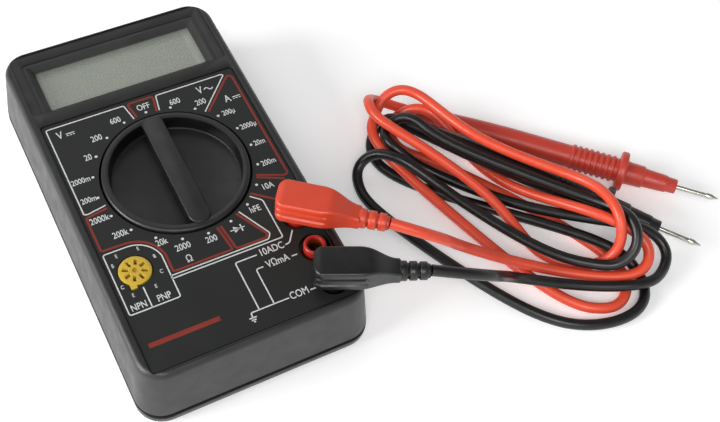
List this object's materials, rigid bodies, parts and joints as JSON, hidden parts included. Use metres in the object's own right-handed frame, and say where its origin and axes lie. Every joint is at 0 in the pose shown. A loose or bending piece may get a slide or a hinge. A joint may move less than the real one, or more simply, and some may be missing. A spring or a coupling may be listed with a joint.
{
  "type": "digital multimeter",
  "caption": "Pocket digital multimeter with display, range dial, transistor socket and plug jacks, and a pair of probe test leads.",
  "frame": {"origin": "middle of the meter's back, on the surface it lies on", "axes": "+Z out of the face, +Y towards the display end along the case, +X towards the jack side"},
  "size_m": [0.1946, 0.1537, 0.0367],
  "materials": {
    "black_abs": "moulded black ABS with a fine spark-eroded grain",
    "label_film": "screen-printed matt polyester film",
    "clear_acrylic": "clear acrylic window",
    "lcd_glass": "reflective liquid crystal display, greenish grey when off",
    "grey_abs": "moulded grey ABS",
    "silicone": "layered conductive silicone strip",
    "board_laminate": "green solder mask on glass-epoxy laminate",
    "epoxy": "black potting epoxy",
    "blue_nylon": "blue moulded trimmer body",
    "yellow_nylon": "yellow moulded nylon",
    "red_abs": "moulded red ABS",
    "battery_jacket": "printed foil jacket of a nine-volt battery",
    "red_vinyl": "red flexible PVC",
    "black_vinyl": "black flexible PVC",
    "brass": "turned brass",
    "nickel": "nickel-plated metal",
    "steel": "zinc-plated steel"
  },
  "bodies": {
    "meter": {"front_shell": "black_abs", "back_shell": "black_abs", "back_screw_1": "steel", "back_screw_2": "steel", "board_screw_1": "steel", "board_screw_2": "steel", "board_screw_3": "steel", "board_screw_4": "steel", "face_label": "label_film", "display_window": "clear_acrylic", "lcd_frame": "grey_abs", "lcd_glass": "lcd_glass", "zebra_strip": "silicone", "circuit_board": "board_laminate", "chip_blob": "epoxy", "trim_pot": "blue_nylon", "fuse": "nickel", "fuse_clip_1": "nickel", "fuse_clip_2": "nickel", "shunt_bar": "brass", "transistor_socket": "yellow_nylon", "ten_amp_jack_sleeve": "brass", "ten_amp_jack_collar": "red_abs", "volt_ohm_jack_sleeve": "brass", "volt_ohm_jack_collar": "red_abs", "common_jack_sleeve": "brass", "common_jack_collar": "black_abs", "battery": "battery_jacket", "battery_snap": "black_vinyl", "battery_wire_red": "red_vinyl", "battery_wire_black": "black_vinyl", "red_probe_handle": "red_vinyl", "red_probe_needle": "nickel", "black_probe_handle": "black_vinyl", "black_probe_needle": "nickel", "red_cord": "red_vinyl", "black_cord": "black_vinyl"},
    "dial": {"dial_knob": "black_abs", "dial_wiper_inner": "brass", "dial_wiper_outer": "brass", "detent_spring_1": "steel", "detent_spring_2": "steel", "detent_ball_1": "steel", "detent_ball_2": "steel"},
    "red_plug": {"red_plug_body": "red_vinyl", "red_plug_pin": "nickel"},
    "black_plug": {"black_plug_body": "black_vinyl", "black_plug_pin": "nickel"}
  },
  "joints": [
    {"name": "dial_turn", "type": "hinge", "parent": "meter", "child": "dial", "pos_m": [0, 0, 0.0218], "axis": [0, 0, 1], "continuous": true},
    {"name": "red_plug_pull", "type": "slide", "parent": "meter", "child": "red_plug", "axis": [0, 0, 1], "range_m": [0, 0.02]},
    {"name": "black_plug_pull", "type": "slide", "parent": "meter", "child": "black_plug", "axis": [0, 0, 1], "range_m": [0, 0.02]}
  ]
}
